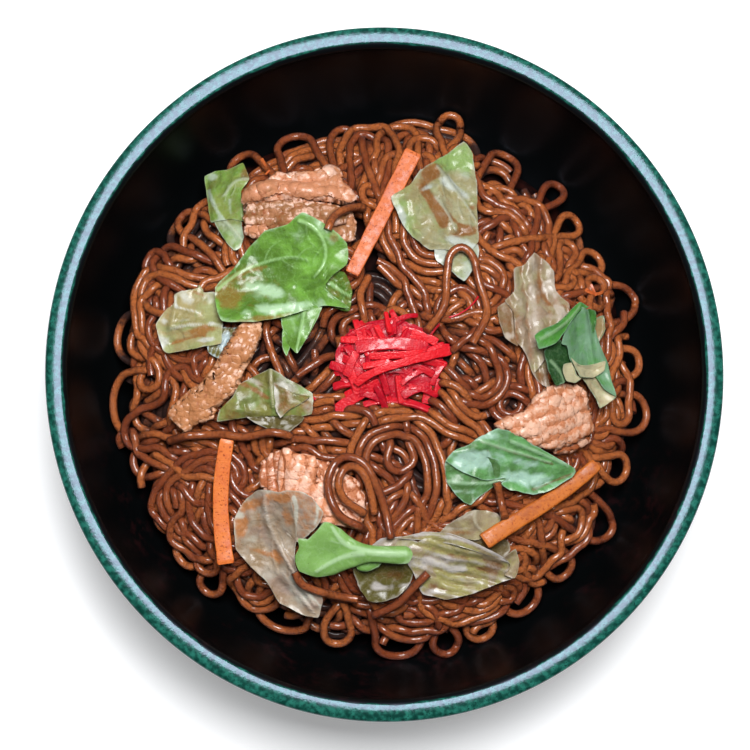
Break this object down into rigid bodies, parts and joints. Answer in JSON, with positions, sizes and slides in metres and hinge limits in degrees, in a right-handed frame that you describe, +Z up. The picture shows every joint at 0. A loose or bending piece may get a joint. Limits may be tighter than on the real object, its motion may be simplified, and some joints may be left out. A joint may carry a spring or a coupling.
{
  "type": "yakisoba",
  "caption": "Wide dark-glazed bowl of stir-fried noodles with cabbage, pork and carrot, topped with shredded red ginger.",
  "frame": {"origin": "on the table under the middle of the foot ring", "axes": "+Z up out of the bowl, +Y along the bowl's slightly longer axis, +X to the right of the view from -Y"},
  "size_m": [0.25, 0.2578, 0.0766],
  "materials": {
    "bowl_glaze": "near-black high-gloss glaze on stoneware, with a mottled blue-green glaze over the lip",
    "noodles": "boiled wheat noodles coated in brown sauce, glossy where wet",
    "ginger": "wet translucent bright red shreds",
    "carrot": "cooked orange carrot with fine pits and a thin oily film",
    "pork": "pan-fried pork belly slices, browned and lumpy, with an oily film",
    "cabbage_green": "wilted green leaf with paler veins and an oily film",
    "cabbage_pale": "wilted translucent pale leaf stained with sauce"
  },
  "bodies": {
    "root": {"bowl": "bowl_glaze", "noodles": "noodles", "ginger": "ginger", "carrot_1": "carrot", "carrot_2": "carrot", "carrot_3": "carrot", "pork_1": "pork", "pork_2": "pork", "pork_3": "pork", "pork_4": "pork", "cabbage_1": "cabbage_green", "cabbage_2": "cabbage_green", "cabbage_3": "cabbage_pale", "cabbage_4": "cabbage_pale", "cabbage_5": "cabbage_pale", "cabbage_6": "cabbage_green", "cabbage_7": "cabbage_green", "cabbage_8": "cabbage_green", "cabbage_9": "cabbage_pale", "cabbage_10": "cabbage_green", "cabbage_11": "cabbage_pale", "cabbage_12": "cabbage_pale", "cabbage_13": "cabbage_green"}
  },
  "joints": []
}
